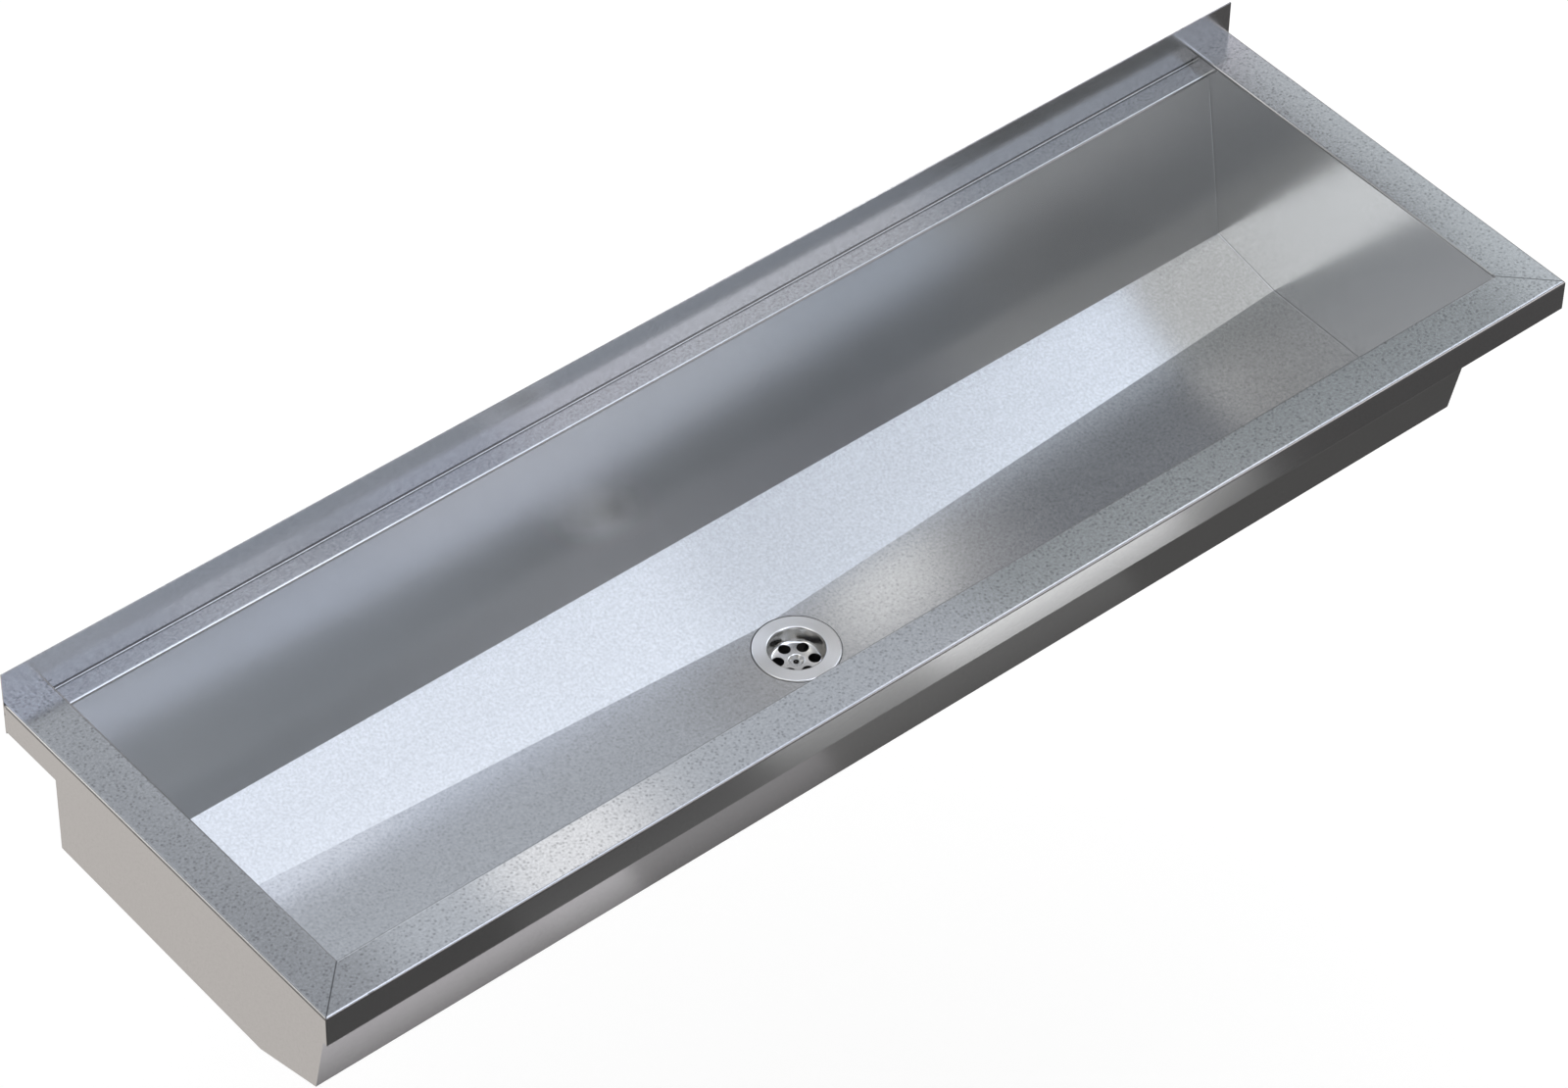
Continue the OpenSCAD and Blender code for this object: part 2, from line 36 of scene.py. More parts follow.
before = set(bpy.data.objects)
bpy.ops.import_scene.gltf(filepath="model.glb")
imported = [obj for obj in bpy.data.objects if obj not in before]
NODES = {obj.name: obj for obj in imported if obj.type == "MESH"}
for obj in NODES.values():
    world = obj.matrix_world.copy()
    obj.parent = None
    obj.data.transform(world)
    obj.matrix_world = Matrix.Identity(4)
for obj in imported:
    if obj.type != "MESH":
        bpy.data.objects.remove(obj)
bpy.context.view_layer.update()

SHEET_NODES = (
    "rear_panel",
    "front_panel",
    "left_end_panel",
    "right_end_panel",
    "rear_floor_panel",
    "front_floor_panel",
    "left_floor_panel",
    "right_floor_panel",
    "left_corner_weld",
    "right_corner_weld",
    "drain_dish",
)

# Half length of the bowl, its front edge, and what |x| + y is along the mitres of the rim.
BOWL_HALF = 0.5605
RIM_INNER_Y = -0.3465
MITRE_SUM = 0.214

# Outer edges of the rim, face of the upstand, height of the ledge, and how far a bend reaches.
OUTER_HALF = 0.6
OUTER_FRONT = 0.386
UPSTAND_FACE_Y = -0.0012
LEDGE_Z = -0.0112
EDGE_REACH = 0.0025

# Painted light and shade along the bends, as middle height and half width: the painted highlight
# on the outer edge, the painted dark reflection under it, and the fainter painted shade inside the
# rim. Then the painted shade at the foot of the upstand: half its width on the ledge, and its
# middle height and half height.
OUTER_BRIGHT_LINE = (-0.0006, 0.0005)
OUTER_DARK_LINE = (-0.0016, 0.0005)
INNER_DARK_LINE = (-0.0009, 0.0006)
INNER_DARK_SHARE = 0.6
FOOT_HALF_WIDTH = 0.0008
FOOT_LINE = (LEDGE_Z + 0.0017, 0.0010)

# How much lighter the painted highlight makes the sheet, and how much darker the painted shade and
# the mitre seams make it.
BRIGHT_GAIN = 0.45
DARK_LOSS = 0.65

# How far a face points up or down where it counts as a slope, as level, and as quite level.
SLOPE_FACING = 0.9
LEVEL_FACING = 0.975
FULL_FACING = 0.998

# Cells to the metre of the sheet's dots, mottle and grain, of the patches where dots are strong
# and of the slow smudges; how unevenly the dots lie, and between which distances one fades out.
DOT_SCALE = 310.0
MOTTLE_SCALE = 420.0
GRAIN_SCALE = 1100.0
PATCH_SCALE = 160.0
SMUDGE_SCALE = 9.0
DOT_UNEVENNESS = 0.85
DOT_FADE = (0.14, 0.5)

# Width of the ground line at a mitre.
SEAM_WIDTH = 0.0007

# Share of the mottle that a slope shows, share of the dots that the sheet shows from the ledge
# down, and the part of a level face that the dots cover, which is made up for in its tone.
SLOPE_MOTTLE = 0.7
LOW_DOT_SHARE = 0.45
DOT_COVER = 0.26

# Depth of the sheet's relief and of the turned rings; the rings' scale and shade, and how far they
# draw a reflection out sideways.
SHEET_RELIEF = 0.00006
RING_RELIEF = 0.00002
RING_SCALE = 2600.0
RING_SHADE = 0.07
RING_ANISOTROPY = 0.7

# Between these values a noise texture varies from its low to its high places.
NOISE_SPAN = (0.3, 0.7)

# Middle of the drain, where its flange begins, how wide the change of finish is there, and the
# radius of the screw's socket with the tone of the painted shade inside it.
DRAIN_Y = -0.1787
FLANGE_START = 0.0225
FLANGE_BLEND = 0.001
SOCKET_R = 0.0026
SOCKET_TONE = 0.06

# Section of the waste body from its seat round to the bore, as radius and height, with the
# outlet at the root of its thread, and the number of its sides. Then the thread of the trap nut:
# its pitch, where it starts, its turns, the steps of a turn, and the section of its ridge.
WASTE_SECTION = (
    (0.0270, -0.1924),
    (0.0370, -0.1924),
    (0.0370, -0.1954),
    (0.0300, -0.1954),
    (0.0300, -0.2164),
    (0.0239, -0.2264),
    (0.0239, -0.2274),
    (0.0224, -0.2283),
    (0.0224, -0.2559),
    (0.0219, -0.2564),
    (0.0199, -0.2564),
    (0.0199, -0.2264),
    (0.0270, -0.2164),
)
WASTE_SIDES = 96
THREAD_PITCH = 0.002309
THREAD_START = -0.2546
THREAD_TURNS = 11
THREAD_STEPS = 64
RIDGE_SECTION = (
    (0.0222, -0.00095),
    (0.02388, -0.00028),
    (0.02388, 0.00028),
    (0.0222, 0.00095),
)

# Points closer than this are merged, faces that meet at less than this angle look smooth, and a
# threaded waste body with fewer faces than this has lost its thread.
MERGE_REACH = 0.00001
SMOOTH_ANGLE = math.radians(30.0)
FEWEST_FACES = 1000

# The floor: its width, its tone, and how much lighter the camera sees it.
FLOOR_WIDTH = 30.0
FLOOR_TONE = 0.9
FLOOR_LIFT = 0.3

# The photograph's view, solved from the corners of the rim: focal length and width of the picture
# in pixels, the directions to its right, down and into it, where the camera stands, and how far
# it sees.
FOCAL_PIXELS = 6417.48
PICTURE_PIXELS = 1600.0
SENSOR_WIDTH = 36.0
VIEW_RIGHT = Vector((0.76736325, -0.64099405, 0.01674125))
VIEW_DOWN = Vector((-0.44185055, -0.54751936, -0.71062693))
VIEW_AHEAD = Vector((0.46467379, 0.53791186, -0.70336981))
CAMERA_PLACE = Vector((-2.22097, -2.73199, 3.27489))
CAMERA_REACH = 100.0

# Soft sources of the studio: name, direction, angle in degrees at which each falls to half, and
# colour times level.
SOFT_SOURCES = (
    ("overhead", (0.12, 0.0, 0.99), 18.0, (1.72, 1.83, 2.06)),
    ("right_window", (0.69, 0.09, 0.71), 8.5, (3.48, 3.81, 4.32)),
    ("rear_window", (0.14, 0.81, 0.57), 12.0, (2.04, 2.16, 2.35)),
    ("front_window", (0.22, -0.46, 0.86), 8.5, (3.05, 3.30, 4.02)),
    ("left_window", (-0.64, 0.03, 0.77), 12.0, (1.95, 1.95, 1.90)),
    ("low_rear_left", (-0.49, 0.57, -0.66), 36.0, (0.64, 0.595, 0.56)),
    ("right_front", (0.74, -0.67, 0.02), 18.0, (1.63, 1.54, 1.55)),
    ("rear_left_window", (-0.47, 0.81, 0.35), 12.0, (3.10, 3.07, 2.98)),
    ("left_rear_high", (-0.56, 0.49, 0.67), 14.0, (0.17, 0.17, 0.17)),
    ("fill_rear_low", (0.45, 0.75, -0.48), 30.0, (0.35, 0.35, 0.35)),
    ("fill_left_low", (-0.65, -0.58, -0.50), 28.0, (0.35, 0.35, 0.35)),
    ("fill_below", (-0.20, -0.10, -0.97), 18.0, (0.25, 0.25, 0.25)),
)

# Flat lamps near the trough, level with the floor and never two at one height:
# name, middle, width and depth, colour times radiance.
SHEET_LAMPS = (
    ("upper_left", (-0.075, 0.0, 0.314), (0.60, 0.45), (0.30, 0.32, 0.35)),
    ("upper_front", (0.525, -0.225, 0.312), (0.60, 0.30), (0.16, 0.18, 0.18)),
    ("upper_front_strip", (0.525, -0.30, 0.310), (1.20, 0.15), (0.25, 0.27, 0.35)),
    ("upper_front_core", (0.30, -0.30, 0.308), (0.45, 0.15), (0.51, 0.47, 0.44)),
    ("upper_right", (0.975, 0.0, 0.306), (0.30, 0.45), (0.56, 0.60, 0.63)),
    ("upper_rear_strip", (0.675, 0.30, 0.304), (0.90, 0.15), (0.59, 0.57, 0.64)),
    ("upper_rear", (0.380, 0.30, 0.302), (0.30, 0.45), (0.17, 0.16, 0.15)),
    ("floor_glow", (0.400, 0.18, 0.300), (0.11, 0.14), (0.86, 0.86, 0.85)),
    ("rim_patch", (-0.185, -0.15, 0.298), (0.15, 0.15), (0.29, 0.27, 0.25)),
    ("rim_glow", (-0.270, -0.23, 0.200), (0.13, 0.10), (0.24, 0.23, 0.22)),
    ("lower_left", (-0.34, -0.45, -0.400), (0.38, 0.15), (0.58, 0.56, 0.58)),
    ("lower_left_end", (-0.05, -0.45, -0.402), (0.20, 0.15), (0.19, 0.18, 0.19)),
    ("lower_front", (0.31, -0.76, -0.404), (0.53, 0.16), (0.72, 0.72, 0.72)),
    ("lower_front_core", (0.355, -0.75, -0.406), (0.27, 0.15), (1.22, 1.22, 1.22)),
    ("lower_middle", (0.075, -0.525, -0.408), (0.60, 0.30), (0.08, 0.08, 0.08)),
)


def build_group(name, inputs, outputs):
    """A new shader node group with its sockets, and its two end nodes."""
    group = bpy.data.node_groups.new(name, "ShaderNodeTree")
    for label, kind, default in inputs:
        socket = group.interface.new_socket(name=label, in_out="INPUT", socket_type=kind)
        if default is not None:
            socket.default_value = default
    for label, kind in outputs:
        group.interface.new_socket(name=label, in_out="OUTPUT", socket_type=kind)
    return group, group.nodes.new("NodeGroupInput"), group.nodes.new("NodeGroupOutput")


def math_node(tree, operation, first, second=None, third=None):
    """A math node whose inputs are sockets or numbers; gives its output."""
    node = tree.nodes.new("ShaderNodeMath")
    node.operation = operation
    for socket, value in zip(node.inputs, (first, second, third)):
        if value is None:
            continue
        if isinstance(value, bpy.types.NodeSocket):
            tree.links.new(value, socket)
        else:
            socket.default_value = value
    return node.outputs[0]


def map_range(tree, value, low, high, out_low, out_high, smooth=False):
    """A clamped range map; gives its output."""
    node = tree.nodes.new("ShaderNodeMapRange")
    if smooth:
        node.interpolation_type = "SMOOTHSTEP"
    tree.links.new(value, node.inputs["Value"])
    node.inputs["From Min"].default_value = low
    node.inputs["From Max"].default_value = high
    node.inputs["To Min"].default_value = out_low
    node.inputs["To Max"].default_value = out_high
    return node.outputs["Result"]


def mix_colour(tree, factor, first, second):
    """A mix of two colours; gives its output."""
    node = tree.nodes.new("ShaderNodeMix")
    node.data_type = "RGBA"
    tree.links.new(factor, node.inputs["Factor"])
    for socket, colour in ((node.inputs[6], first), (node.inputs[7], second)):
        socket.default_value = (*colour, 1.0)
    return node.outputs[2]


def noise_node(tree, vector, scale, detail, roughness=0.5):
    """A noise texture on a vector; gives its value output."""
    node = tree.nodes.new("ShaderNodeTexNoise")
    node.inputs["Detail"].default_value = detail
    node.inputs["Roughness"].default_value = roughness
    if isinstance(scale, bpy.types.NodeSocket):
        tree.links.new(scale, node.inputs["Scale"])
    else:
        node.inputs["Scale"].default_value = scale
    tree.links.new(vector, node.inputs["Vector"])
    return node.outputs["Fac"]


def sheet_grain_group():
    """Surface of rolled and pickled sheet: dots, cloudy mottle, fine grain and slow smudges."""
    group, start, end = build_group(
        "sheet_grain",
        (
            ("Vector", "NodeSocketVector", None),
            ("Dot Scale", "NodeSocketFloat", DOT_SCALE),
            ("Mottle Scale", "NodeSocketFloat", MOTTLE_SCALE),
            ("Grain Scale", "NodeSocketFloat", GRAIN_SCALE),
        ),
        (
            ("Dots", "NodeSocketFloat"),
            ("Mottle", "NodeSocketFloat"),
            ("Grain", "NodeSocketFloat"),
            ("Smudge", "NodeSocketFloat"),
        ),
    )
    vector = start.outputs["Vector"]
    cells = group.nodes.new("ShaderNodeTexVoronoi")
    cells.inputs["Randomness"].default_value = DOT_UNEVENNESS
    group.links.new(vector, cells.inputs["Vector"])
    group.links.new(start.outputs["Dot Scale"], cells.inputs["Scale"])
    dots = map_range(group, cells.outputs["Distance"], *DOT_FADE, 1.0, 0.0, smooth=True)
    patches = noise_node(group, vector, PATCH_SCALE, 1.0)
    weight = map_range(group, patches, 0.3, 0.6, 0.4, 1.0, smooth=True)
    group.links.new(math_node(group, "MULTIPLY", dots, weight), end.inputs["Dots"])
    mottle = noise_node(group, vector, start.outputs["Mottle Scale"], 2.0, 0.6)
    group.links.new(mottle, end.inputs["Mottle"])
    grain = noise_node(group, vector, start.outputs["Grain Scale"], 1.0)
    group.links.new(grain, end.inputs["Grain"])
    smudge = noise_node(group, vector, SMUDGE_SCALE, 3.0, 0.55)
    group.links.new(smudge, end.inputs["Smudge"])
    return group


def mitre_seam_group():
    """Thin ground lines where the front sheet meets the end sheets at the mitres."""
    group, start, end = build_group(
        "mitre_seam",
        (
            ("Vector", "NodeSocketVector", None),
            ("Line Width", "NodeSocketFloat", SEAM_WIDTH),
        ),
        (("Seam", "NodeSocketFloat"),),
    )
    parts = group.nodes.new("ShaderNodeSeparateXYZ")
    group.links.new(start.outputs["Vector"], parts.inputs[0])
    outward = math_node(group, "ABSOLUTE", parts.outputs["X"])
    both_ways = math_node(group, "ADD", outward, parts.outputs["Y"])
    diagonal = math_node(group, "SUBTRACT", both_ways, MITRE_SUM)
    away = math_node(group, "DIVIDE", math_node(group, "ABSOLUTE", diagonal), math.sqrt(2.0))
    near = math_node(group, "DIVIDE", away, start.outputs["Line Width"])
    line = map_range(group, near, 0.4, 1.0, 1.0, 0.0, smooth=True)
    past_bowl = math_node(group, "GREATER_THAN", outward, BOWL_HALF)
    ahead = math_node(group, "LESS_THAN", parts.outputs["Y"], RIM_INNER_Y)
    inside = math_node(group, "MULTIPLY", past_bowl, ahead)
    group.links.new(math_node(group, "MULTIPLY", line, inside), end.inputs["Seam"])
    return group


def edge_line_group():
    """Painted highlight, painted dark reflection and painted shade along the bends."""
    group, start, end = build_group(
        "edge_lines",
        (("Vector", "NodeSocketVector", None),),
        (("Bright", "NodeSocketFloat"), ("Dark", "NodeSocketFloat")),
    )
    parts = group.nodes.new("ShaderNodeSeparateXYZ")
    group.links.new(start.outputs["Vector"], parts.inputs[0])
    along, across, up = parts.outputs

    def near(value, middle, reach):
        return math_node(group, "COMPARE", value, middle, reach)

    def both(first, second):
        return math_node(group, "MULTIPLY", first, second)

    def either(first, second):
        return math_node(group, "MAXIMUM", first, second)

    outward = math_node(group, "ABSOLUTE", along)
    forward = math_node(group, "MULTIPLY", across, -1.0)
    end_face = math_node(group, "SUBTRACT", outward, OUTER_HALF - EDGE_REACH)
    front_face = math_node(group, "SUBTRACT", forward, OUTER_FRONT - EDGE_REACH)
    outer = math_node(group, "GREATER_THAN", either(end_face, front_face), 0.0)
    before_wall = math_node(group, "LESS_THAN", across, UPSTAND_FACE_Y - EDGE_REACH)
    outer = both(outer, before_wall)
    # Painted highlight along the outer bend of the rim.
    group.links.new(both(outer, near(up, *OUTER_BRIGHT_LINE)), end.inputs["Bright"])
    # Painted dark reflection just under the outer bend.
    under_edge = both(outer, near(up, *OUTER_DARK_LINE))
    # Painted shade at the foot of the upstand, just above the ledge.
    foot = both(near(across, UPSTAND_FACE_Y, FOOT_HALF_WIDTH), near(up, *FOOT_LINE))
    bowl_edge = either(near(along, -BOWL_HALF, EDGE_REACH), near(across, RIM_INNER_Y, EDGE_REACH))
    over_bowl = math_node(group, "LESS_THAN", outward, BOWL_HALF + EDGE_REACH)
    # Fainter painted shade along the inner bends of the rim over the bowl.
    inner = both(both(bowl_edge, over_bowl), near(up, *INNER_DARK_LINE))
    inner = both(inner, INNER_DARK_SHARE)
    group.links.new(either(either(under_edge, foot), inner), end.inputs["Dark"])
    return group


def soft_source_group():
    """Brightness of one soft studio source seen in a direction."""
    group, start, end = build_group(
        "soft_source",
        (
            ("Direction", "NodeSocketVector", None),
            ("Toward", "NodeSocketVector", (0.0, 0.0, 1.0)),
            ("Sharpness", "NodeSocketFloat", 10.0),
            ("Colour", "NodeSocketColor", (1.0, 1.0, 1.0, 1.0)),
        ),
        (("Light", "NodeSocketColor"),),
    )
    dot = group.nodes.new("ShaderNodeVectorMath")
    dot.operation = "DOT_PRODUCT"
    group.links.new(start.outputs["Direction"], dot.inputs[0])
    group.links.new(start.outputs["Toward"], dot.inputs[1])
    off_axis = math_node(group, "SUBTRACT", dot.outputs["Value"], 1.0)
    power = math_node(group, "MULTIPLY", off_axis, start.outputs["Sharpness"])
    glow = math_node(group, "EXPONENT", power)
    scaled = group.nodes.new("ShaderNodeVectorMath")
    scaled.operation = "SCALE"
    group.links.new(start.outputs["Colour"], scaled.inputs[0])
    group.links.new(glow, scaled.inputs["Scale"])
    group.links.new(scaled.outputs[0], end.inputs["Light"])
    return group


def new_material(name):
    """An empty node material with its output and a Principled shader."""
    material = bpy.data.materials.new(name)
    material.use_nodes = True
    material.node_tree.nodes.clear()
    output = material.node_tree.nodes.new("ShaderNodeOutputMaterial")
    shader = material.node_tree.nodes.new("ShaderNodeBsdfPrincipled")
    material.node_tree.links.new(shader.outputs[0], output.inputs[0])
    return material, shader


def object_vector(tree):
    """Object coordinates, which are the part's own metres."""
    return tree.nodes.new("ShaderNodeTexCoord").outputs["Object"]


def bumped_grain(tree, shader, grain, share, dots, grain_bump):
    """Relief of the sheet: broad dots and mottle under fine grain."""
    hollows = math_node(tree, "MULTIPLY", dots, -0.5)
    height = math_node(tree, "ADD", grain.outputs["Mottle"], hollows)
    broad = tree.nodes.new("ShaderNodeBump")
    broad.inputs["Distance"].default_value = SHEET_RELIEF
    tree.links.new(math_node(tree, "MULTIPLY", share, 0.6), broad.inputs["Strength"])
    tree.links.new(height, broad.inputs["Height"])
    fine = tree.nodes.new("ShaderNodeBump")
    fine.inputs["Strength"].default_value = grain_bump
    fine.inputs["Distance"].default_value = SHEET_RELIEF
    tree.links.new(grain.outputs["Grain"], fine.inputs["Height"])
    tree.links.new(broad.outputs[0], fine.inputs["Normal"])
    tree.links.new(fine.outputs[0], shader.inputs["Normal"])


def tinted(tree, colour, tone):
    """A colour multiplied by a tone that varies over the surface."""
    node = tree.nodes.new("ShaderNodeVectorMath")
    node.operation = "SCALE"
    node.inputs[0].default_value = colour
    tree.links.new(tone, node.inputs["Scale"])
    return node.outputs[0]


def steel_material(
    name, colour, roughness, dot_shade, mottle_shade, grain_bump, upright_share=0.2, sheet=False
):
    """Stainless steel: dots and mottle that show most on level faces, grain and smudges."""
    material, shader = new_material(name)
    tree = material.node_tree
    place = object_vector(tree)
    grain = tree.nodes.new("ShaderNodeGroup")
    grain.node_tree = bpy.data.node_groups["sheet_grain"]
    tree.links.new(place, grain.inputs["Vector"])
    facing = tree.nodes.new("ShaderNodeSeparateXYZ")
    tree.links.new(tree.nodes.new("ShaderNodeNewGeometry").outputs["Normal"], facing.inputs[0])
    level = math_node(tree, "ABSOLUTE", facing.outputs["Z"])
    share = map_range(tree, level, LEVEL_FACING, FULL_FACING, upright_share, 1.0, smooth=True)
    if sheet:
        parts = tree.nodes.new("ShaderNodeSeparateXYZ")
        tree.links.new(place, parts.inputs[0])
        height = map_range(tree, parts.outputs["Z"], LEDGE_Z, 0.3 * LEDGE_Z, LOW_DOT_SHARE, 1.0)
        share = math_node(tree, "MULTIPLY", share, height)
    dots = math_node(tree, "MULTIPLY", grain.outputs["Dots"], share)
    cloud = map_range(tree, grain.outputs["Mottle"], *NOISE_SPAN, -mottle_shade, mottle_shade)
    sloped = map_range(
        tree, level, SLOPE_FACING, LEVEL_FACING, upright_share, SLOPE_MOTTLE, smooth=True
    )
    tone = math_node(tree, "MULTIPLY_ADD", cloud, math_node(tree, "MAXIMUM", sloped, share), 1.0)
    tone = math_node(tree, "MULTIPLY_ADD", share, dot_shade * DOT_COVER, tone)
    tone = math_node(tree, "MULTIPLY_ADD", dots, -dot_shade, tone)
    if sheet:
        # Ground seams at the mitres, and the painted highlight and painted shade along the bends.
        seam = tree.nodes.new("ShaderNodeGroup")
        seam.node_tree = bpy.data.node_groups["mitre_seam"]
        tree.links.new(place, seam.inputs["Vector"])
        lines = tree.nodes.new("ShaderNodeGroup")
        lines.node_tree = bpy.data.node_groups["edge_lines"]
        tree.links.new(place, lines.inputs["Vector"])
        # The mitre seams and the painted shade darken the tone, the painted highlight lightens it.
        dark = math_node(tree, "MAXIMUM", seam.outputs["Seam"], lines.outputs["Dark"])
        tone = math_node(tree, "MULTIPLY_ADD", lines.outputs["Bright"], BRIGHT_GAIN, tone)
        kept = math_node(tree, "MULTIPLY_ADD", dark, -DARK_LOSS, 1.0)
        tone = math_node(tree, "MULTIPLY", tone, kept)
    tree.links.new(tinted(tree, colour, tone), shader.inputs["Base Color"])
    shader.inputs["Metallic"].default_value = 1.0
    smudge = grain.outputs["Smudge"]
    rough = map_range(tree, smudge, *NOISE_SPAN, roughness * 0.95, roughness * 1.05)
    tree.links.new(rough, shader.inputs["Roughness"])
    bumped_grain(tree, shader, grain, share, dots, grain_bump)
    return material


def drain_distance(tree):
    """Distance from the drain's axis."""
    parts = tree.nodes.new("ShaderNodeSeparateXYZ")
    tree.links.new(object_vector(tree), parts.inputs[0])
    across = math_node(tree, "SUBTRACT", parts.outputs["Y"], DRAIN_Y)
    along_square = math_node(tree, "POWER", parts.outputs["X"], 2.0)
    square = math_node(tree, "MULTIPLY_ADD", across, across, along_square)
    return math_node(tree, "SQRT", square)


def turned_material(name, colour, flange_roughness, cup_roughness, socket_r=0.0):
    """Turned stainless steel: a satin flange with ring scratches and a smoother middle."""
    material, shader = new_material(name)
    tree = material.node_tree
    distance = drain_distance(tree)
    rings = tree.nodes.new("ShaderNodeTexNoise")
    rings.noise_dimensions = "1D"
    rings.inputs["Scale"].default_value = RING_SCALE
    rings.inputs["Detail"].default_value = 2.0
    tree.links.new(distance, rings.inputs["W"])
    on_flange = map_range(
        tree, distance, FLANGE_START, FLANGE_START + FLANGE_BLEND, 0.0, 1.0, smooth=True
    )
    scratch = map_range(tree, rings.outputs["Fac"], *NOISE_SPAN, -RING_SHADE, RING_SHADE)
    tone = math_node(tree, "MULTIPLY_ADD", scratch, on_flange, 1.0)
    # Painted shade inside the screw's socket.
    if socket_r > 0.0:
        lit = map_range(tree, distance, socket_r * 0.85, socket_r, SOCKET_TONE, 1.0, smooth=True)
        tone = math_node(tree, "MULTIPLY", tone, lit)
    tree.links.new(tinted(tree, colour, tone), shader.inputs["Base Color"])
    shader.inputs["Metallic"].default_value = 1.0
    rough = map_range(tree, on_flange, 0.0, 1.0, cup_roughness, flange_roughness)
    tree.links.new(rough, shader.inputs["Roughness"])
    shader.inputs["Anisotropic"].default_value = RING_ANISOTROPY
    shader.inputs["Anisotropic Rotation"].default_value = 0.25
    tangent = tree.nodes.new("ShaderNodeTangent")
    tangent.direction_type = "RADIAL"
    tangent.axis = "Z"
    tree.links.new(tangent.outputs[0], shader.inputs["Tangent"])
    bump = tree.nodes.new("ShaderNodeBump")
    bump.inputs["Distance"].default_value = RING_RELIEF
    tree.links.new(math_node(tree, "MULTIPLY", on_flange, 0.15), bump.inputs["Strength"])
    tree.links.new(rings.outputs["Fac"], bump.inputs["Height"])
    tree.links.new(bump.outputs[0], shader.inputs["Normal"])
    return material


def plain_material(name, colour, roughness, metallic=0.0):
    """Moulded or turned material with slight mottling."""
    material, shader = new_material(name)
    tree = material.node_tree
    speckle = noise_node(tree, object_vector(tree), 400.0, 2.0)
    darker = [channel * 0.85 for channel in colour]
    lighter = [min(1.0, channel * 1.1) for channel in colour]
    shade = mix_colour(tree, speckle, darker, lighter)
    tree.links.new(shade, shader.inputs["Base Color"])
    shader.inputs["Metallic"].default_value = metallic
    rough = map_range(tree, speckle, *NOISE_SPAN, roughness * 0.9, roughness * 1.1)
    tree.links.new(rough, shader.inputs["Roughness"])
    return material


def dress(names, material):
    """Gives a material to CAD nodes by their material slots."""
    for name in names:
        slots = NODES[name].data.materials
        slots.clear()
        slots.append(material)


class TroughStudio(bpy.types.PropertyGroup):
    """Light and ground of the studio."""

    floor_depth: bpy.props.FloatProperty(
        name="Floor depth",
        description="Distance from the rim down to the floor",
        default=0.9,
        unit="LENGTH",
    )
    plain_level: bpy.props.FloatProperty(
        name="Plain level",
        description="Even light that matt surfaces receive",
        default=0.85,
        min=0.0,
    )
    ambient_level: bpy.props.FloatProperty(
        name="Ambient level",
        description="Even light between the soft sources",
        default=0.03,
        min=0.0,
    )


class TroughFinish(bpy.types.PropertyGroup):
    """Finish of the metal."""

    steel_colour: bpy.props.FloatVectorProperty(
        name="Steel colour",
        description="Colour of the ground sheet",
        subtype="COLOR",
        default=(0.62, 0.625, 0.63),
    )
    steel_roughness: bpy.props.FloatProperty(
        name="Steel roughness",
        description="How blurred the sheet reflects",
        default=0.2,
        min=0.0,
        max=1.0,
    )


class TROUGH_OT_dress_sheets(bpy.types.Operator):
    """Give the folded sheets their ground finish"""

    bl_idname = "trough.dress_sheets"
    bl_label = "Dress the sheets"

    def execute(self, context):
        finish = context.scene.trough_finish
        sheet_grain_group()
        mitre_seam_group()
        edge_line_group()
        sheet = steel_material(
            "ground_sheet",
            finish.steel_colour,
            finish.steel_roughness,
            dot_shade=0.36,
            mottle_shade=0.14,
            grain_bump=0.03,
            sheet=True,
        )
        dress(SHEET_NODES, sheet)
        return {"FINISHED"}


class TROUGH_OT_dress_fittings(bpy.types.Operator):
    """Give the waste, brackets, mats and fixings their finishes"""

    bl_idname = "trough.dress_fittings"
    bl_label = "Dress the fittings"

    def execute(self, context):
        strainer = turned_material(
            "turned_strainer", (0.74, 0.73, 0.71), flange_roughness=0.3, cup_roughness=0.18
        )
        dress(("strainer",), strainer)
        screw = turned_material(
            "turned_screw",
            (0.7, 0.7, 0.69),
            flange_roughness=0.2,
            cup_roughness=0.15,
            socket_r=SOCKET_R,
        )
        dress(("strainer_screw",), screw)
        mill = steel_material(
            "mill_sheet",
            (0.5, 0.51, 0.52),
            0.34,
            dot_shade=0.1,
            mottle_shade=0.12,
            grain_bump=0.1,
            upright_share=1.0,
        )
        dress(("hanging_rail", "left_wall_bracket", "right_wall_bracket", "bonding_lug"), mill)
        bright = steel_material(
            "bright_fixings",
            (0.7, 0.7, 0.69),
            0.2,
            dot_shade=0.0,
            mottle_shade=0.03,
            grain_bump=0.03,
        )
        dress(("bonding_bolt", "bonding_washers", "bonding_nut"), bright)
        mats = plain_material("sound_mat", (0.035, 0.035, 0.038), 0.75)
        dress(("left_sound_mat", "right_sound_mat", "rear_sound_mat"), mats)
        rubber = plain_material("seal_rubber", (0.16, 0.16, 0.16), 0.6)
        dress(("flange_seal", "waste_seal"), rubber)
        plastic = plain_material("waste_plastic", (0.035, 0.036, 0.038), 0.42)
        dress(("waste_body", "waste_bridge"), plastic)
        brass = plain_material("insert_brass", (0.7, 0.5, 0.2), 0.3, metallic=1.0)
        dress(("screw_insert",), brass)
        return {"FINISHED"}


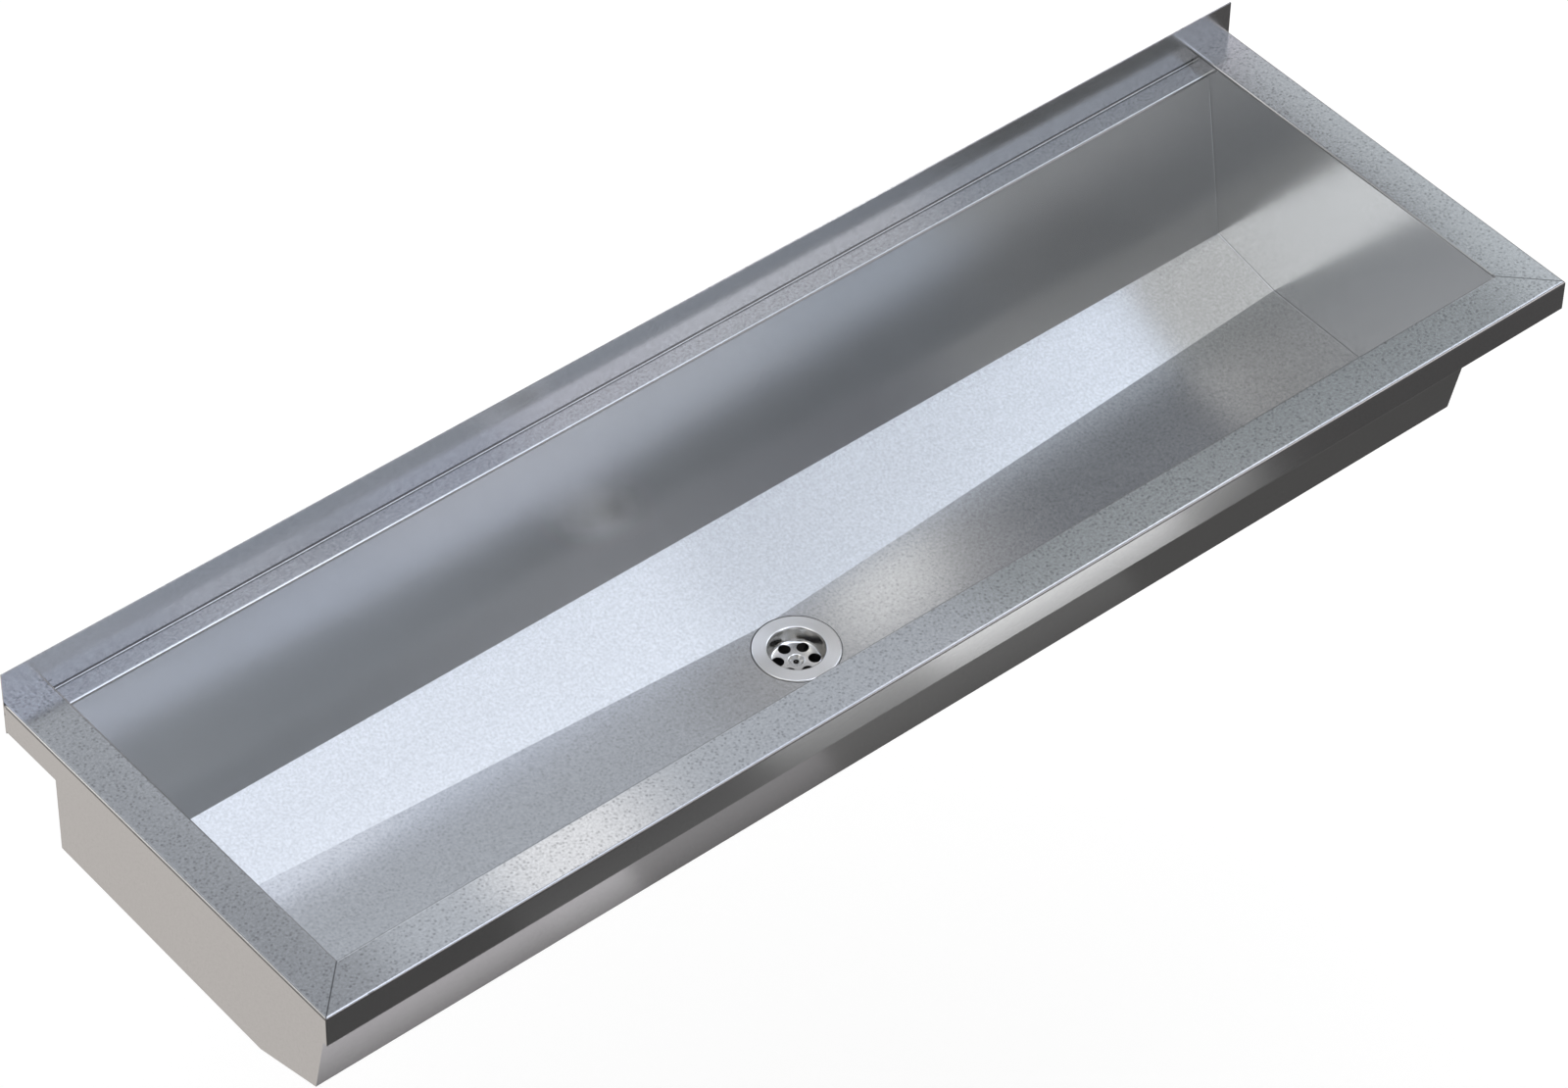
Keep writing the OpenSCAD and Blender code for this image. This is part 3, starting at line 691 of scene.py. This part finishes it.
def turned_ring(name, section, middle, sides):
    """A closed ring drawn out loop by loop along its section, about an upright axis."""
    bpy.ops.object.select_all(action="DESELECT")
    radius, height = section[0]
    bpy.ops.mesh.primitive_circle_add(
        vertices=sides, radius=radius, fill_type="NOTHING", location=(*middle, height)
    )
    ring = bpy.context.object
    ring.name = name
    bpy.ops.object.mode_set(mode="EDIT")
    bpy.ops.mesh.select_all(action="SELECT")
    for next_r, next_z in (*section[1:], section[0]):
        rise = (0.0, 0.0, next_z - height)
        bpy.ops.mesh.extrude_region_move(TRANSFORM_OT_translate={"value": rise})
        ratio = next_r / radius
        bpy.ops.transform.resize(value=(ratio, ratio, 1.0), center_override=(*middle, next_z))
        radius, height = next_r, next_z
    bpy.ops.mesh.select_all(action="SELECT")
    bpy.ops.mesh.remove_doubles(threshold=MERGE_REACH)
    bpy.ops.mesh.normals_make_consistent(inside=False)
    bpy.ops.object.mode_set(mode="OBJECT")
    return ring


def wound_ridge(name, section, middle, start_z, pitch, turns, steps):
    """A thread ridge: its section wound up an upright axis, with both ends closed."""
    bpy.ops.object.select_all(action="DESELECT")
    bpy.ops.mesh.primitive_circle_add(
        vertices=len(section), radius=0.001, fill_type="NOTHING", location=(*middle, start_z)
    )
    ridge = bpy.context.object
    ridge.name = name
    for vertex, (radius, height) in zip(ridge.data.vertices, section):
        vertex.co = (radius, 0.0, height)
    bpy.ops.object.modifier_add(type="SCREW")
    wind = ridge.modifiers[-1]
    wind.screw_offset = pitch
    wind.iterations = turns
    wind.steps = wind.render_steps = steps
    bpy.ops.object.modifier_apply(modifier=wind.name)
    bpy.ops.object.mode_set(mode="EDIT")
    bpy.ops.mesh.select_all(action="SELECT")
    bpy.ops.mesh.fill_holes(sides=len(section))
    bpy.ops.mesh.select_all(action="SELECT")
    bpy.ops.mesh.normals_make_consistent(inside=False)
    bpy.ops.object.mode_set(mode="OBJECT")
    return ridge


class TROUGH_OT_thread_waste(bpy.types.Operator):
    """Model the moulded waste body with the thread that takes the trap nut"""

    bl_idname = "trough.thread_waste"
    bl_label = "Thread the waste body"

    def execute(self, context):
        middle = (0.0, DRAIN_Y)
        body = turned_ring("waste_body_threaded", WASTE_SECTION, middle, WASTE_SIDES)
        ridge = wound_ridge(
            "outlet_ridge",
            RIDGE_SECTION,
            middle,
            start_z=THREAD_START,
            pitch=THREAD_PITCH,
            turns=THREAD_TURNS,
            steps=THREAD_STEPS,
        )
        bpy.ops.object.select_all(action="DESELECT")
        ridge.select_set(True)
        body.select_set(True)
        context.view_layer.objects.active = body
        bpy.ops.object.join()
        bpy.ops.object.transform_apply(location=True, rotation=True, scale=True)
        bpy.ops.object.shade_smooth_by_angle(angle=SMOOTH_ANGLE)
        if len(body.data.polygons) < FEWEST_FACES:
            raise RuntimeError("the waste body has no thread")
        body.data.materials.clear()
        body.data.materials.append(NODES["waste_bridge"].data.materials[0])
        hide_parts("waste_body")
        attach(body, "root")
        return {"FINISHED"}


class TROUGH_OT_studio(bpy.types.Operator):
    """Build the floor, the light and the camera"""

    bl_idname = "trough.studio"
    bl_label = "Build the studio"

    def execute(self, context):
        studio = context.scene.trough_studio
        build_floor(context, studio)
        build_world(context, studio)
        build_lamps(context)
        build_camera(context)
        context.scene.view_settings.view_transform = "Standard"
        return {"FINISHED"}


def build_floor(context, studio):
    """A plain pale floor well below the trough."""
    bpy.ops.object.select_all(action="DESELECT")
    bpy.ops.mesh.primitive_plane_add(size=FLOOR_WIDTH, location=(0.0, 0.0, -studio.floor_depth))
    floor = context.object
    floor.name = "studio_floor"
    floor.visible_glossy = False
    material = bpy.data.materials.new("floor_paint")
    material.use_nodes = True
    tree = material.node_tree
    tree.nodes.clear()
    output = tree.nodes.new("ShaderNodeOutputMaterial")
    paint = tree.nodes.new("ShaderNodeBsdfDiffuse")
    paint.inputs["Color"].default_value = (FLOOR_TONE, FLOOR_TONE, FLOOR_TONE, 1.0)
    lift = tree.nodes.new("ShaderNodeEmission")
    lift.inputs["Color"].default_value = (1.0, 1.0, 1.0, 1.0)
    path = tree.nodes.new("ShaderNodeLightPath")
    seen = math_node(tree, "MULTIPLY", path.outputs["Is Camera Ray"], FLOOR_LIFT)
    tree.links.new(seen, lift.inputs["Strength"])
    both = tree.nodes.new("ShaderNodeAddShader")
    tree.links.new(paint.outputs[0], both.inputs[0])
    tree.links.new(lift.outputs[0], both.inputs[1])
    see_through = tree.nodes.new("ShaderNodeBsdfTransparent")
    facing = tree.nodes.new("ShaderNodeNewGeometry")
    pick = tree.nodes.new("ShaderNodeMixShader")
    tree.links.new(facing.outputs["Backfacing"], pick.inputs[0])
    tree.links.new(both.outputs[0], pick.inputs[1])
    tree.links.new(see_through.outputs[0], pick.inputs[2])
    tree.links.new(pick.outputs[0], output.inputs[0])
    floor.data.materials.append(material)


def build_world(context, studio):
    """White to the camera, even to matt surfaces, soft sources to shiny ones."""
    world = bpy.data.worlds.new("studio")
    context.scene.world = world
    world.use_nodes = True
    tree = world.node_tree
    tree.nodes.clear()
    output = tree.nodes.new("ShaderNodeOutputWorld")
    source = soft_source_group()
    coordinates = tree.nodes.new("ShaderNodeTexCoord")
    unit = tree.nodes.new("ShaderNodeVectorMath")
    unit.operation = "NORMALIZE"
    tree.links.new(coordinates.outputs["Generated"], unit.inputs[0])
    ambient = tree.nodes.new("ShaderNodeCombineXYZ")
    for socket in ambient.inputs:
        socket.default_value = studio.ambient_level
    total = ambient.outputs[0]
    for name, toward, angle, colour in SOFT_SOURCES:
        node = tree.nodes.new("ShaderNodeGroup")
        node.node_tree = source
        node.label = name
        node.inputs["Toward"].default_value = Vector(toward).normalized()
        fall = 1.0 - math.cos(math.radians(angle))
        node.inputs["Sharpness"].default_value = math.log(2.0) / fall
        node.inputs["Colour"].default_value = (*colour, 1.0)
        tree.links.new(unit.outputs[0], node.inputs["Direction"])
        add = tree.nodes.new("ShaderNodeVectorMath")
        add.operation = "ADD"
        tree.links.new(total, add.inputs[0])
        tree.links.new(node.outputs[0], add.inputs[1])
        total = add.outputs[0]
    path = tree.nodes.new("ShaderNodeLightPath")
    even = tree.nodes.new("ShaderNodeBackground")
    even.inputs["Color"].default_value = (1.0, 1.0, 1.0, 1.0)
    even.inputs["Strength"].default_value = studio.plain_level
    shiny = tree.nodes.new("ShaderNodeBackground")
    tree.links.new(total, shiny.inputs["Color"])
    white = tree.nodes.new("ShaderNodeBackground")
    white.inputs["Color"].default_value = (1.0, 1.0, 1.0, 1.0)
    first = tree.nodes.new("ShaderNodeMixShader")
    tree.links.new(path.outputs["Is Glossy Ray"], first.inputs[0])
    tree.links.new(even.outputs[0], first.inputs[1])
    tree.links.new(shiny.outputs[0], first.inputs[2])
    second = tree.nodes.new("ShaderNodeMixShader")
    tree.links.new(path.outputs["Is Camera Ray"], second.inputs[0])
    tree.links.new(first.outputs[0], second.inputs[1])
    tree.links.new(white.outputs[0], second.inputs[2])
    tree.links.new(second.outputs[0], output.inputs[0])


def build_lamps(context):
    """Flat lamps that only the shiny surfaces mirror."""
    for name, middle, size, colour in SHEET_LAMPS:
        data = bpy.data.lights.new("lamp_" + name, "AREA")
        data.shape = "RECTANGLE"
        data.size, data.size_y = size
        level = max(colour)
        data.color = [channel / level for channel in colour]
        data.energy = level * math.pi * size[0] * size[1]
        lamp = bpy.data.objects.new("lamp_" + name, data)
        lamp.location = middle
        if middle[2] < 0.0:
            lamp.rotation_euler = (math.pi, 0.0, 0.0)
        lamp.visible_camera = False
        lamp.visible_diffuse = False
        context.scene.collection.objects.link(lamp)


def build_camera(context):
    """A camera at the photograph's view."""
    data = bpy.data.cameras.new("camera")
    data.sensor_width = SENSOR_WIDTH
    data.lens = FOCAL_PIXELS / PICTURE_PIXELS * SENSOR_WIDTH
    data.clip_end = CAMERA_REACH
    camera = bpy.data.objects.new("camera", data)
    context.scene.collection.objects.link(camera)
    place = Matrix((VIEW_RIGHT, -VIEW_DOWN, -VIEW_AHEAD)).transposed().to_4x4()
    place.translation = CAMERA_PLACE
    camera.matrix_world = place
    context.scene.camera = camera


class TROUGH_PT_panel(bpy.types.Panel):
    """Steps and settings of the trough sink"""

    bl_idname = "TROUGH_PT_panel"
    bl_label = "Trough sink"
    bl_space_type = "VIEW_3D"
    bl_region_type = "UI"
    bl_category = "Trough sink"

    def draw(self, context):
        for operator in STEPS:
            self.layout.operator(operator.bl_idname)
        for settings in (context.scene.trough_studio, context.scene.trough_finish):
            for name in settings.__annotations__:
                self.layout.prop(settings, name)


STEPS = (TROUGH_OT_dress_sheets, TROUGH_OT_dress_fittings, TROUGH_OT_thread_waste, TROUGH_OT_studio)
CLASSES = (TroughStudio, TroughFinish, *STEPS, TROUGH_PT_panel)


def register():
    for cls in CLASSES:
        bpy.utils.register_class(cls)
    bpy.types.Scene.trough_studio = bpy.props.PointerProperty(type=TroughStudio)
    bpy.types.Scene.trough_finish = bpy.props.PointerProperty(type=TroughFinish)


def unregister():
    del bpy.types.Scene.trough_finish
    del bpy.types.Scene.trough_studio
    for cls in reversed(CLASSES):
        bpy.utils.unregister_class(cls)


def main():
    register()
    bpy.ops.trough.dress_sheets()
    bpy.ops.trough.dress_fittings()
    bpy.ops.trough.thread_waste()
    bpy.ops.trough.studio()


if __name__ == "__main__":
    main()
